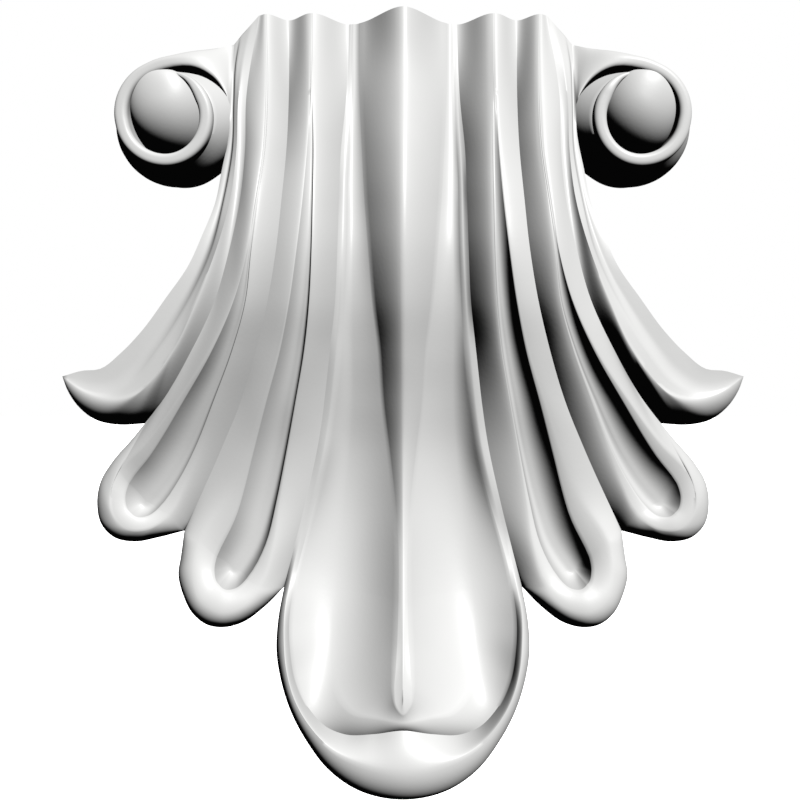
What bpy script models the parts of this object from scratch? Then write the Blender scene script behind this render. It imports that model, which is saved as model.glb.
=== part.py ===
"""Carved onlay: a drop of fluted leaves under two scrolls, flat at the back.

The back lies in the plane Y = 0 and the carving rises from it towards -Y. X is 0 on the axis of
symmetry, Z points up, and the origin is on the back at half the height.

The carving is drawn once, for the half with X above 0, and mirrored. Each feature line is a list of
points (across, up, depth) in thousandths of half the width, the height and the depth of the carving.
"""
import math

import bmesh
import bpy
import numpy as np

WIDTH = 0.1198
HEIGHT = 0.1413
DEPTH = 0.0312

SCROLL_RADIUS = 0.0093
SCROLL_RISE = 0.0168
COIL_START = 72.0
COIL_END = -256.0
COIL_OPENING = 0.0014
COIL_OPENS_ABOVE = -10.0
COIL_OPENING_TURN = 100.0
COIL_OPENING_POWER = 1.1
COIL_CLOSING = 0.0006
COIL_CLOSES_FROM = -90.0
COIL_CLOSING_TURN = 90.0
BEAD_WIDTH = 0.0025
BEAD_END_WIDTH = 0.0008
BEAD_NARROWS_FROM = -205.0
BEAD_NARROWING_TURN = 59.0
BEAD_ROUND = 0.0015
BEAD_POWER = 3
BEAD_STARTS_OVER = 3
TAIL_DROP = 0.0010
TAIL_DROPS_FROM = -220.0
TAIL_DROP_TURN = 44.0
EYE_HALVES = (0.0070, 0.0077)
EYE_OFFSET = (0.00015, 0.0011)
EYE_RISE = 0.0172
EYE_EDGE_RISE = 0.0112
EYE_EDGE_SLANT = 0.0052
EYE_SLANT_TOWARDS = 68.0
EYE_APEX = (0.0006, 0.0034)
DRUM_SIDE = ((0.0096, 0.0005), (0.0109, 0.0095), (0.0086, 0.0150))
DRUM_LEAN = 0.0026
DRUM_LEANS_TOWARDS = 160.0
DRUM_LEAN_POWER = 4
DRUM_RIM = 0.0009
DRUM_WELL_DEPTH = 0.0100
DRUM_FOOT_RISE = 0.0035
DRUM_FOOT_LEAN = 0.0050

# Stock behind the back, cut off when the body, the drums and the eyes are one.
BODY_STOCK = 0.0040
DRUM_STOCK = 0.0030
EYE_STOCK = 0.0020
CUT_MARGIN = 0.0050

SIDE_STATIONS = 20
SIDE_CROWDING = 0.45
TIP_STATIONS = 13
LEAF_TIP_STATIONS = 7
FINE_STEPS = 24
BEAD_STEPS_PER_GAP = 2
COIL_GAPS = 14
RIM_GUIDE_STEP = 3
EYE_SEGMENTS = 20
EYE_RINGS = (0.0, 0.35, 0.62, 0.82, 0.94, 1.0)
DRUM_SEGMENTS = 20
DRUM_FIRST_CORNER = 7.0
DRUM_STEPS = 2

PAINT_COLOUR = (0.80, 0.79, 0.77, 1.0)
PAINT_ROUGHNESS = 0.45

# Valleys between the leaves, from the top edge down to the notch in the outline.
VALLEY_1 = ((172, 1000, 263), (177, 887, 423), (189, 814, 538), (192, 745, 635), (195, 679, 686),
            (202, 617, 667), (220, 555, 603), (264, 426, 500), (299, 360, 481), (366, 247, 487))
VALLEY_2 = ((361, 1000, 327), (351, 882, 497), (349, 810, 640), (356, 742, 755), (369, 677, 805),
            (394, 615, 790), (434, 553, 720), (486, 490, 630), (553, 426, 556), (674, 320, 474))
VALLEY_3 = ((450, 1000, 400), (476, 876, 571), (469, 805, 692), (476, 738, 784), (504, 675, 818),
            (546, 614, 808), (618, 553, 766), (715, 490, 680), (761, 469, 620))

# Outline of each leaf between its notches, at the foot of its rounded edge.
OUTLINE_1 = ((366, 247, 487), (379, 207, 551), (379, 172, 615), (361, 136, 654), (329, 100, 686),
             (280, 65, 718), (224, 36, 744), (135, 11, 769), (0, 0, 782))
OUTLINE_2 = ((366, 247, 487), (426, 221, 462), (497, 200, 462), (558, 195, 474), (598, 198, 474),
             (644, 212, 468), (676, 236, 462), (693, 265, 455), (686, 285, 455), (674, 320, 474))
OUTLINE_3 = ((674, 320, 474), (756, 311, 462), (826, 306, 468), (888, 312, 474), (928, 330, 474),
             (940, 356, 474), (927, 386, 487), (891, 410, 506), (820, 442, 558), (761, 469, 620))
OUTLINE_4_UNDER = ((761, 469, 620), (801, 461, 590), (856, 459, 583), (922, 465, 603),
                   (968, 482, 647), (992, 502, 699), (1000, 520, 750))
OUTLINE_4_OVER = ((529, 962, 392), (529, 878, 525), (528, 842, 550), (544, 781, 635),
                  (556, 737, 712), (586, 697, 766), (628, 655, 790), (689, 618, 790),
                  (765, 575, 780), (826, 549, 766), (891, 529, 755), (943, 527, 750),
                  (1000, 520, 750))

# Middle leaf: the round rib on the axis, its foot, and the two scoops below it.
AXIS = ((0, 1000, 538), (0, 926, 590), (0, 870, 667), (0, 800, 769), (0, 735, 840), (0, 674, 859),
        (0, 614, 821), (0, 553, 731), (0, 490, 635), (0, 427, 571), (0, 362, 577), (0, 300, 641),
        (0, 241, 744))
AXIS_END = ((0, 241, 744), (0, 197, 846), (0, 160, 925), (0, 132, 962))
RIB_FOOT = ((137, 1000, 286), (134, 885, 434), (125, 815, 524), (115, 746, 606), (102, 680, 667),
            (90, 617, 654), (72, 555, 603), (62, 490, 532), (43, 426, 500), (25, 362, 538),
            (14, 300, 628), (14, 241, 730))
RIB_FOOT_END = ((14, 241, 730), (17, 197, 830), (22, 163, 905), (26, 140, 936), (19, 122, 954),
                (0, 113, 959))
SCOOP = ((154, 1000, 269), (152, 887, 417), (154, 816, 500), (152, 747, 577), (150, 682, 635),
         (150, 618, 628), (152, 555, 571), (154, 491, 494), (165, 425, 424), (180, 359, 404),
         (194, 294, 430), (206, 244, 478))
SCOOP_END = ((206, 244, 478), (214, 196, 556), (212, 156, 650), (196, 124, 752), (150, 107, 832),
             (80, 105, 898), (0, 104, 952))
LIP_END = ((331, 249, 560), (339, 211, 652), (332, 179, 728), (315, 143, 762), (275, 108, 768),
           (220, 85, 778), (175, 79, 800), (85, 84, 872), (0, 92, 922))
RIM_END = ((346, 250, 572), (353, 224, 668), (349, 192, 768), (338, 159, 828), (311, 124, 864),
           (264, 94, 898), (199, 70, 938), (102, 54, 980), (0, 48, 1000))
RIM_SHARES = (0.67, 0.33)
RIM_WAY_POWER = 3
RIM_JOIN_POWER = 4
SLOPE_POWER = 1.6
BANK_POWER = 1.45

# Side leaves: the crest of the rim down one side, round the tip and up the other, and the groove.
CREST_2_IN = ((280, 1000, 436), (270, 869, 640), (263, 800, 735), (262, 735, 808), (264, 672, 838),
              (272, 613, 802), (290, 553, 722), (319, 490, 635), (348, 427, 564), (374, 362, 540),
              (396, 298, 568), (430, 254, 600))
CREST_2_TIP = ((430, 254, 600), (486, 228, 640), (550, 222, 656), (608, 236, 638), (632, 270, 600),
               (616, 311, 562))
CREST_2_OUT = ((286, 1000, 436), (279, 869, 640), (284, 800, 735), (294, 735, 814),
               (311, 672, 850), (334, 612, 827), (369, 553, 754), (423, 490, 671), (480, 427, 590),
               (542, 362, 548), (616, 311, 562))
GROOVE_2 = ((282, 1000, 439), (274, 869, 641), (271, 801, 714), (271, 735, 775), (275, 674, 790),
            (288, 614, 750), (312, 553, 672), (343, 490, 592), (378, 425, 500), (424, 355, 446),
            (472, 303, 434), (528, 270, 432))
GROOVE_START_2 = 0.12
INSETS_2 = (0.45, 0.6, 0.55)
CREST_3_IN = ((424, 1000, 423), (404, 869, 652), (403, 797, 785), (417, 732, 872), (433, 670, 905),
              (451, 612, 872), (496, 553, 788), (558, 490, 690), (618, 427, 604), (664, 381, 576),
              (706, 345, 582))
CREST_3_TIP = ((706, 345, 582), (760, 327, 606), (820, 325, 624), (868, 342, 620), (880, 372, 606),
               (856, 401, 592))
CREST_3_OUT = ((429, 1000, 423), (411, 869, 652), (410, 797, 785), (425, 732, 872),
               (446, 670, 906), (488, 612, 878), (560, 552, 821), (666, 490, 724), (782, 431, 632),
               (856, 401, 592))
GROOVE_3 = ((426, 1000, 425), (407, 868, 654), (405, 797, 787), (419, 732, 872), (438, 670, 900),
            (458, 612, 852), (508, 553, 764), (580, 490, 662), (672, 420, 560), (730, 386, 528),
            (788, 359, 508))
GROOVE_START_3 = 0.42
INSETS_3 = (0.45, 0.5, 0.4)
GROOVE_RUN = 0.18
INSET_POWER = 6
INSET_DROP = 0.35
WALL_POWERS = (4.0, 2.2)
TOP_HOLLOW = 0.3
RIB_HOLLOW = 0.6

# Pointed leaf, from the neck to its tip.
CREST_4 = ((476, 987, 404), (492, 933, 488), (499, 876, 577), (494, 805, 695), (503, 737, 803),
           (538, 672, 872), (594, 611, 874), (667, 551, 840), (773, 500, 804), (865, 493, 776),
           (945, 503, 758), (1000, 520, 750))
CREASE_4 = ((503, 975, 398), (514, 933, 470), (514, 875, 551), (508, 802, 676), (524, 737, 778),
            (554, 674, 836), (620, 612, 838), (711, 552, 815), (802, 509, 786), (858, 499, 768),
            (922, 502, 756), (1000, 520, 750))
TROUGH_DEPTH_4 = 0.0005

# Strap from the neck to the scroll: its outer and inner edges from the centre of the scroll, in
# thousandths of the scroll's radius, and the height of its crest.
SCROLL_CENTRE = (728, 859)
STRAP_OUTER = ((-979, 1443), (-631, 1352), (-193, 1231))
STRAP_INNER = ((-1211, 410), (-985, 714), (-567, 942))
STRAP_RISE = (500, 525, 538)
NECK_FOOT = 870


def smooth(control, steps):
    """Smooth curve through the control points, with some steps from each point to the next.

    A line that ends on the axis of symmetry crosses it squarely.
    """
    points = np.array(control, dtype=float)
    gaps = np.linalg.norm(np.diff(points, axis=0), axis=1)
    slopes = np.diff(points, axis=0) / gaps[:, None]
    tangents = np.empty_like(points)
    tangents[0], tangents[-1] = slopes[0], slopes[-1]
    if points[-1, 0] == 0 and points[-2, 0] > 0:
        tangents[-1, 1:] = 0.0
    before, after = gaps[:-1, None], gaps[1:, None]
    tangents[1:-1] = (slopes[:-1] * after + slopes[1:] * before) / (before + after)
    t = (np.arange(steps) / steps)[:, None]
    pieces = []
    for i, gap in enumerate(gaps):
        ends = (1 + 2 * t) * (1 - t) ** 2 * points[i] + t ** 2 * (3 - 2 * t) * points[i + 1]
        bend = t * (1 - t) ** 2 * tangents[i] - t ** 2 * (1 - t) * tangents[i + 1]
        pieces.append(ends + gap * bend)
    return np.concatenate(pieces + [points[-1:]])


def spaced(curve, count, crowding):
    """Stations along a finely drawn curve.

    crowding is 0 for even spaces, and above 0 for smaller spaces near the start.
    """
    travelled = np.concatenate(([0.0], np.cumsum(np.linalg.norm(np.diff(curve, axis=0), axis=1))))
    share = np.linspace(0.0, 1.0, count)
    wanted = travelled[-1] * (share * (1 - crowding) + share ** 2 * crowding)
    return np.column_stack([np.interp(wanted, travelled, curve[:, k]) for k in range(curve.shape[1])])


def to_metres(shares):
    """Turn (across, up, depth) shares into (x, z, height above the back) in metres."""
    return np.array(shares, dtype=float) / 1000 * (WIDTH / 2, HEIGHT, DEPTH) - (0, HEIGHT / 2, 0)


def down_side(curve, count=SIDE_STATIONS):
    """Stations down the side of a leaf, closer together near the top edge."""
    return spaced(curve, count, SIDE_CROWDING)


def up_side(curve):
    """Stations of down_side in the opposite order, for a curve drawn upwards."""
    return down_side(curve[::-1])[::-1]


def round_tip(curve, count=TIP_STATIONS):
    """Even stations round the tip of a leaf."""
    return spaced(curve, count, 0.0)


def line(*runs):
    """Feature line of runs drawn in shares, each (control points, way to read it)."""
    return flowing(*[(to_metres(control), read) for control, read in runs])


def flowing(*runs):
    """Feature line of runs drawn in metres, which flow into one another."""
    curve = smooth(chain(*[control for control, _ in runs]), FINE_STEPS)
    stations, first = [], 0
    for control, read in runs:
        last = first + (len(control) - 1) * FINE_STEPS
        stations.append(read(curve[first:last + 1]))
        first = last
    return chain(*stations)


def chain(*parts):
    """Join lines end to end, keeping each shared station once."""
    return np.concatenate([parts[0]] + [part[1:] for part in parts[1:]])


def ease(s):
    """Smooth way from 0 to 1, level at both ends."""
    t = np.clip(s, 0.0, 1.0)
    return t * t * (3 - 2 * t)


def dome(s):
    """Steep at the start and flat at the end."""
    return 1 - (1 - s) ** 2


def bank(s):
    """Fairly even, and flat only at the very end."""
    return 1 - (1 - s) ** BANK_POWER


def quarter_round(s):
    """Upright at the start and flat at the end."""
    return np.sqrt(1 - (1 - s) ** 2)


def cup(s):
    """Flat at the start and steep at the end."""
    return s ** 2


def straight(s):
    """Even slope."""
    return s


def slope(s):
    """Flat at the start and fairly even after it."""
    return s ** SLOPE_POWER


EDGE_STEPS = (0.0, 0.04, 0.16, 0.38, 0.66)
WALL_STEPS = (0.0, 0.12, 0.3, 0.55)
EVEN_STEPS = (0.0, 0.33, 0.67)
HALF_STEPS = (0.0, 0.5)


def hollow(crowded_share):
    """How far the foot of a dome is drawn out into a hollow: all of it at the top edge."""
    return 1 - ease(crowded_share / TOP_HOLLOW)


def strip(lines, bands, edge, foot):
    """Rows of stations across a leaf, from its edge line to its last line.

    Each band has a shape and the shares of the way at which it has rows. edge is 1 where the first
    line is the free outline, whose edge is a quarter round, and 0 where it is a valley. foot is
    above 0 at the stations where the domes rise from a hollow.
    """
    rows = []
    for k, (shape, steps) in enumerate(bands):
        first, second = lines[k], lines[k + 1]
        round_edge = edge if k == 0 else 0.0
        for s in steps:
            rise = shape(s)
            if shape in (dome, bank):
                rise = rise + (ease(s) - rise) * foot
            rise = round_edge * quarter_round(s) + (1 - round_edge) * rise
            row = first + (second - first) * s
            row[:, 2] = first[:, 2] + (second[:, 2] - first[:, 2]) * rise
            rows.append(row)
    return rows + [lines[-1]]


def edge_share(*runs):
    """Join runs of (count, is_outline) into one array, each shared station counted once."""
    values = []
    for count, outline in runs:
        values += [float(outline)] * (count - (1 if values else 0))
    share = np.array(values)
    share[1:-1] = (share[:-2] + 2 * share[1:-1] + share[2:]) / 4
    return share


def middle_leaf():
    """Half of the middle leaf, from its edge to the axis."""
    valley = line((VALLEY_1, down_side))
    scoop = line((SCOOP, down_side), (SCOOP_END, round_tip))
    floor = scoop[:SIDE_STATIONS]
    fall = np.linspace(0.0, 1.0, SIDE_STATIONS)[:, None]
    upper = []
    for control, share in zip((RIM_END, LIP_END), RIM_SHARES):
        tip = to_metres(control)
        last_share = (tip[0, 0] - floor[-1, 0]) / (valley[-1, 0] - floor[-1, 0])
        way = share + (last_share - share) * fall ** RIM_WAY_POWER
        follow = floor + (valley - floor) * way
        follow[:, 2:] = floor[:, 2:] + (valley[:, 2:] - floor[:, 2:]) * way ** 2
        follow += (tip[0] - follow[-1]) * fall ** RIM_JOIN_POWER
        guides = follow[:-RIM_GUIDE_STEP:RIM_GUIDE_STEP]
        upper.append(flowing((np.vstack((guides, tip[:1])), down_side), (tip, round_tip)))
    lines = [
        chain(valley, line((OUTLINE_1, round_tip))),
        *upper,
        scoop,
        line((RIB_FOOT, down_side), (RIB_FOOT_END, round_tip)),
        line((AXIS, down_side), (AXIS_END, round_tip)),
    ]
    bands = ((bank, EDGE_STEPS), (slope, HALF_STEPS), (dome, EVEN_STEPS), (cup, EVEN_STEPS),
             (bank, EVEN_STEPS))
    edge = edge_share((SIDE_STATIONS, 0), (TIP_STATIONS, 1))
    foot = chain(hollow(fall[:, 0]), np.zeros(TIP_STATIONS)) * RIB_HOLLOW
    return strip(lines, bands, edge, foot)


def grooved_leaf(inner, outline, outer, crest_in, crest_tip, crest_out, groove, start, insets):
    """Side leaf with a round tip: a rim all round and one long groove inside it.

    start is the share of the stations above the groove, where the crest is in one piece. insets
    says how far the edge of the groove lies from the crest of the rim towards the floor of the
    groove, at the inner side, the bottom and the outer side of the tip.
    """
    crest = line((crest_in, down_side), (crest_tip, round_tip), (crest_out[::-1], up_side))
    fall = np.linspace(0.0, 1.0, SIDE_STATIONS)
    whole = (crest[:SIDE_STATIONS] + crest[:-SIDE_STATIONS - 1:-1]) / 2
    open_share = ease((fall - start) / GROOVE_RUN)[:, None]
    down = whole + (line((groove, down_side)) - whole) * open_share
    floor = chain(down, np.repeat(down[-1:], TIP_STATIONS, axis=0), down[::-1])
    turn = np.linspace(0.0, 1.0, TIP_STATIONS)
    way = fall ** INSET_POWER
    inset = chain(insets[0] * way, np.interp(turn, (0.0, 0.5, 1.0), insets), insets[2] * way[::-1])
    groove_edge = crest + (floor - crest) * inset[:, None]
    groove_edge[:, 2] = crest[:, 2] + (floor[:, 2] - crest[:, 2]) * inset * INSET_DROP
    inner_power, outer_power = WALL_POWERS
    powers = chain(np.full(SIDE_STATIONS, inner_power), np.interp(turn, (0, 1), WALL_POWERS),
                   np.full(SIDE_STATIONS, outer_power))

    def wall(s):
        """Steep at the edge of the groove, most of all on the inner side, and flat at its floor."""
        return 1 - (1 - s) ** powers

    lines = [
        chain(line((inner, down_side)), line((outline, round_tip)), line((outer, down_side))[::-1]),
        crest,
        groove_edge,
        floor,
    ]
    edge = edge_share((SIDE_STATIONS, 0), (TIP_STATIONS, 1), (SIDE_STATIONS, 0))
    foot = chain(hollow(fall), np.zeros(TIP_STATIONS), hollow(fall)[::-1])
    return strip(lines, ((bank, EDGE_STEPS), (cup, HALF_STEPS), (wall, WALL_STEPS)), edge, foot)


def pointed_leaf():
    """Outermost leaf, which runs from the neck to a point. Its last row is its outer edge."""
    under = spaced(smooth(to_metres(OUTLINE_4_UNDER), FINE_STEPS), LEAF_TIP_STATIONS, 0.0)
    stations = SIDE_STATIONS + LEAF_TIP_STATIONS - 1
    crest, crease, over = (down_side(smooth(to_metres(control), FINE_STEPS), stations)
                           for control in (CREST_4, CREASE_4, OUTLINE_4_OVER))
    trough = (crease + over) / 2
    trough[:, 2] -= TROUGH_DEPTH_4 * np.sin(np.linspace(0.0, math.pi, stations))
    lines = [chain(line((VALLEY_3, down_side)), under), crest, crease, trough, over]
    edge = edge_share((SIDE_STATIONS, 0), (LEAF_TIP_STATIONS, 1))
    foot = chain(hollow(np.linspace(0.0, 1.0, SIDE_STATIONS)), np.zeros(LEAF_TIP_STATIONS))
    bands = ((dome, EDGE_STEPS), (straight, (0.0,)), (straight, (0.0,)), (cup, HALF_STEPS))
    return strip(lines, bands, edge, foot)


def around(centre, radius, angles):
    """Points (x, z) at a radius round a centre, for angles in degrees."""
    turns = np.radians(angles)
    return centre + np.column_stack((radius * np.cos(turns), radius * np.sin(turns)))


def coil():
    """Rows of outer x and z, inner x and z, and crest height of the bead round the eye."""
    angles = np.linspace(COIL_START, COIL_END, COIL_GAPS + 1)
    opening = np.maximum(0.0, (angles - COIL_OPENS_ABOVE) / COIL_OPENING_TURN) ** COIL_OPENING_POWER
    closing = ease((COIL_CLOSES_FROM - angles) / COIL_CLOSING_TURN)
    outer = SCROLL_RADIUS + COIL_OPENING * opening - COIL_CLOSING * closing
    narrowing = ease((BEAD_NARROWS_FROM - angles) / BEAD_NARROWING_TURN)
    width = BEAD_WIDTH + (BEAD_END_WIDTH - BEAD_WIDTH) * narrowing
    centre = to_metres((*SCROLL_CENTRE, 0))[:2]
    rise = SCROLL_RISE - TAIL_DROP * ease((TAIL_DROPS_FROM - angles) / TAIL_DROP_TURN)
    return np.column_stack((around(centre, outer, angles), around(centre, outer - width, angles), rise))


def strap(root):
    """Rows along the strap, which leaves the neck at the root and winds into the scroll."""
    level = root[:, 2].mean()
    starts = [(*root[0, :2], *root[-1, :2], level)]
    for outer, inner, rise in zip(STRAP_OUTER, STRAP_INNER, STRAP_RISE):
        x, z, crest = to_metres((*SCROLL_CENTRE, rise))
        edges = np.array((*outer, *inner)) / 1000 * SCROLL_RADIUS + (x, z, x, z)
        starts.append((*edges, crest))
    edges = smooth(np.concatenate((starts, coil())), BEAD_STEPS_PER_GAP)
    even = np.linspace(0.0, 1.0, len(root))
    across = (1 - np.cos(math.pi * even)) / 2
    lift = (1 - np.abs(2 * across - 1) ** BEAD_POWER) ** (1 / BEAD_POWER) - 1
    sections = [root]
    for k, (x0, z0, x1, z1, height) in enumerate(edges[1:], start=1):
        bead = min(1.0, k / (BEAD_STEPS_PER_GAP * BEAD_STARTS_OVER))
        share = even + (across - even) * bead
        crest = height + BEAD_ROUND * lift * bead + (root[:, 2] - level) * (1 - bead)
        sections.append(np.column_stack((x0 + (x1 - x0) * share, z0 + (z1 - z0) * share, crest)))
    return [np.array(row) for row in zip(*sections)]


def scroll_eye():
    """Egg-shaped eye of one scroll, high where the end of the bead runs into it."""
    centre = to_metres((*SCROLL_CENTRE, 0))[:2]
    angles = np.linspace(0.0, 360.0, EYE_SEGMENTS + 1)
    edge = EYE_EDGE_RISE + EYE_EDGE_SLANT * np.cos(np.radians(angles - EYE_SLANT_TOWARDS))
    outline = around(0.0, 1.0, angles) * EYE_HALVES + centre + EYE_OFFSET
    apex = centre + EYE_APEX
    rows = []
    for share in EYE_RINGS:
        level = edge + (EYE_RISE - edge) * math.sqrt(1 - share ** 2)
        rows.append(np.column_stack((apex + (outline - apex) * share, level)))
        rows[-1][-1] = rows[-1][0]
    return rows


def scroll_drum():
    """Barrel-shaped side of one scroll, with a well in its top where the eye stands.

    It leans a little towards the neck, so that it meets the neck halfway up, and its foot runs into
    the neck, so that the crevice beside it has a floor.
    """
    centre = to_metres((*SCROLL_CENTRE, 0))[:2]
    angles = DRUM_FIRST_CORNER + np.linspace(0.0, 360.0, DRUM_SEGMENTS + 1)
    lean = np.maximum(0.0, np.cos(np.radians(angles - DRUM_LEANS_TOWARDS))) ** DRUM_LEAN_POWER
    side = smooth(DRUM_SIDE, DRUM_STEPS)
    foot_radius = side[0, 0]
    top_radius, top = DRUM_SIDE[-1]
    well_radius = top_radius - DRUM_RIM
    well_rise = top - DRUM_WELL_DEPTH
    profile = [(foot_radius, side[0, 1], DRUM_FOOT_LEAN), (foot_radius, DRUM_FOOT_RISE, DRUM_FOOT_LEAN)]
    for radius, rise in [(foot_radius, DRUM_FOOT_RISE), *side[1:]]:
        profile.append((radius, rise, DRUM_LEAN * (1 - (rise / top) ** DRUM_LEAN_POWER)))
    profile += [(well_radius, top, 0.0), (well_radius, well_rise, 0.0), (0.0, well_rise, 0.0)]
    rows = []
    for radius, rise, reach in profile:
        place = around(centre, radius + reach * lean, angles)
        rows.append(np.column_stack((place, np.full(len(angles), rise))))
        rows[-1][-1] = rows[-1][0]
    return rows


class Relief:
    """Quads over a front surface, welded by place, closed down to the flat back."""

    def __init__(self):
        self.indices = {}
        self.points = []
        self.faces = []

    def index(self, point):
        key = tuple(int(round(value * 1e7)) for value in point)
        if key not in self.indices:
            self.indices[key] = len(self.points)
            self.points.append(tuple(float(value) for value in point))
        return self.indices[key]

    def add_strip(self, rows, side):
        grid = [[self.index((side * x, z, height)) for x, z, height in row] for row in rows]
        for upper, lower in zip(grid, grid[1:]):
            for a, b, c, d in zip(upper, upper[1:], lower[1:], lower):
                corners = [v for k, v in enumerate((a, b, c, d)) if v not in (a, b, c, d)[:k]]
                if len(corners) > 2:
                    self.faces.append(corners)

    def border(self):
        """Edges that belong to one face only, as a loop of point indices."""
        uses = {}
        for face in self.faces:
            for a, b in zip(face, face[1:] + face[:1]):
                uses.setdefault(frozenset((a, b)), []).append((a, b))
        neighbours = {}
        for edge in [use[0] for use in uses.values() if len(use) == 1]:
            for a, b in (edge, edge[::-1]):
                neighbours.setdefault(a, []).append(b)
        start = min(neighbours)
        loop = [start]
        previous, current = start, neighbours[start][0]
        while current != start:
            loop.append(current)
            previous, current = current, next(n for n in neighbours[current] if n != previous)
        return loop

    def closed_mesh(self, name, stock):
        """Mesh of the front, the walls straight down from its border, and the back of the stock."""
        loop = self.border()
        backs = [self.index((self.points[i][0], self.points[i][1], -stock)) for i in loop]
        pairs = list(zip(loop, backs))
        walls = [(a, b, b_back, a_back) for (a, a_back), (b, b_back) in zip(pairs, pairs[1:] + pairs[:1])]
        mesh = bpy.data.meshes.new(name)
        vertices = [(x, -height, z) for x, z, height in self.points]
        mesh.from_pydata(vertices, [], self.faces + walls + [backs])
        return mesh


def finish(mesh, name, material):
    """Turn the faces outward, shade the mesh and put it in the scene."""
    shape = bmesh.new()
    shape.from_mesh(mesh)
    bmesh.ops.recalc_face_normals(shape, faces=shape.faces)
    shape.to_mesh(mesh)
    shape.free()
    mesh.shade_smooth()
    mesh.set_sharp_from_angle(angle=math.radians(35))
    mesh.materials.append(material)
    piece = bpy.data.objects.new(name, mesh)
    bpy.context.scene.collection.objects.link(piece)
    return piece


def carving(material):
    """Front of all the leaves and both straps, in one closed mesh."""
    pointed = pointed_leaf()
    neck_foot = to_metres((0, NECK_FOOT, 0))[1]
    root = pointed[-1][pointed[-1][:, 1] > neck_foot]
    strips = (
        middle_leaf(),
        grooved_leaf(VALLEY_1, OUTLINE_2, VALLEY_2, CREST_2_IN, CREST_2_TIP, CREST_2_OUT, GROOVE_2,
                     GROOVE_START_2, INSETS_2),
        grooved_leaf(VALLEY_2, OUTLINE_3, VALLEY_3, CREST_3_IN, CREST_3_TIP, CREST_3_OUT, GROOVE_3,
                     GROOVE_START_3, INSETS_3),
        pointed,
        strap(root),
    )
    return solid(strips, "onlay", (1, -1), BODY_STOCK, material)


def solid(strips, name, sides, stock, material):
    """Closed body of some strips, on one side of the axis or on both, with stock behind the back."""
    relief = Relief()
    for side in sides:
        for rows in strips:
            relief.add_strip(rows, side)
    return finish(relief.closed_mesh(name, stock), name, material)


def back_cutter(material):
    """Block behind the plane of the back, larger than the stock all round."""
    across, up = WIDTH / 2 + CUT_MARGIN, HEIGHT / 2 + CUT_MARGIN
    corners = [(x, y, z) for x in (-across, across) for y in (0.0, BODY_STOCK + CUT_MARGIN)
               for z in (-up, up)]
    sides = [(0, 1, 3, 2), (4, 6, 7, 5), (0, 4, 5, 1), (2, 3, 7, 6), (0, 2, 6, 4), (1, 5, 7, 3)]
    mesh = bpy.data.meshes.new("back_cutter")
    mesh.from_pydata(corners, [], sides)
    return finish(mesh, "back_cutter", material)


def combine(body, piece, operation):
    """Unite a piece with the body or cut it from it, and keep the piece as a hidden guide."""
    step = body.modifiers.new(piece.name, "BOOLEAN")
    step.operation = operation
    step.solver = "EXACT"
    step.object = piece
    piece.hide_render = True
    piece.display_type = "WIRE"


def painted_wood():
    """Satin paint over carved wood."""
    material = bpy.data.materials.new("painted_wood")
    material.use_nodes = True
    shader = material.node_tree.nodes["Principled BSDF"]
    shader.inputs["Base Color"].default_value = PAINT_COLOUR
    shader.inputs["Roughness"].default_value = PAINT_ROUGHNESS
    shader.inputs["Metallic"].default_value = 0.0
    return material


def build():
    """Empty the scene and model the onlay."""
    for old in list(bpy.data.objects):
        bpy.data.objects.remove(old)
    paint = painted_wood()
    body = carving(paint)
    for side, word in ((1, "right"), (-1, "left")):
        drum = solid([scroll_drum()], f"scroll_drum_{word}", (side,), DRUM_STOCK, paint)
        eye = solid([scroll_eye()], f"scroll_eye_{word}", (side,), EYE_STOCK, paint)
        combine(body, drum, "UNION")
        combine(body, eye, "UNION")
    combine(body, back_cutter(paint), "DIFFERENCE")


build()
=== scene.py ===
"""Looks of the carved onlay: a drop of fluted leaves under two scrolls, in white painted wood.

Everything is in metres. The back of the onlay lies in the plane Y = 0, the carving rises towards -Y,
X is 0 on the axis of symmetry and Z points up.

The carving is drawn for the half with X above 0 and mirrored. Each feature line of the carving is a
list of points (across, up, depth) in thousandths of half the width, the height and the depth of the
onlay, which come from the frame.
"""
from __future__ import annotations

import logging
import math
from dataclasses import dataclass
from enum import Enum

import bmesh
import bpy
import numpy as np
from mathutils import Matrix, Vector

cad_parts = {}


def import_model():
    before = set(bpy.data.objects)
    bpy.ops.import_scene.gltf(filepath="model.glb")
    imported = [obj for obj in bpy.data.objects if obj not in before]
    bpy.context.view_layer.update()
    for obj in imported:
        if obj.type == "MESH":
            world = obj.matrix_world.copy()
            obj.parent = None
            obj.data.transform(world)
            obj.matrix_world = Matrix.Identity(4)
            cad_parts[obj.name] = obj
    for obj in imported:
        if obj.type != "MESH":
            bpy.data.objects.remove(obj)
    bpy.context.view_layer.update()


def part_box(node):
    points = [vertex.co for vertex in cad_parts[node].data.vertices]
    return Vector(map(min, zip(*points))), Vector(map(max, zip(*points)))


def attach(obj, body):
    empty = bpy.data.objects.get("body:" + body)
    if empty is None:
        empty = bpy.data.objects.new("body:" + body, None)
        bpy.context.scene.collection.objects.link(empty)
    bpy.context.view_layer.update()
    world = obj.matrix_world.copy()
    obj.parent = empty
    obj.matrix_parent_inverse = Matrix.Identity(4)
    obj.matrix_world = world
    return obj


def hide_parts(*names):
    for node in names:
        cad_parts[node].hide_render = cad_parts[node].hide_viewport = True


log = logging.getLogger("onlay")

MILLIMETRE = 0.001
THOUSANDTHS = 1000
DOME_POWER = 2.0
BANK_POWER = 1.45
CUP_POWER = 2
SLOPE_POWER = 1.6
SRGB_TOE_END = 0.04045
SRGB_TOE_SLOPE = 12.92
SRGB_OFFSET = 0.055
SRGB_POWER = 2.4

Shares = tuple[tuple[float, ...], ...]


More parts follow.
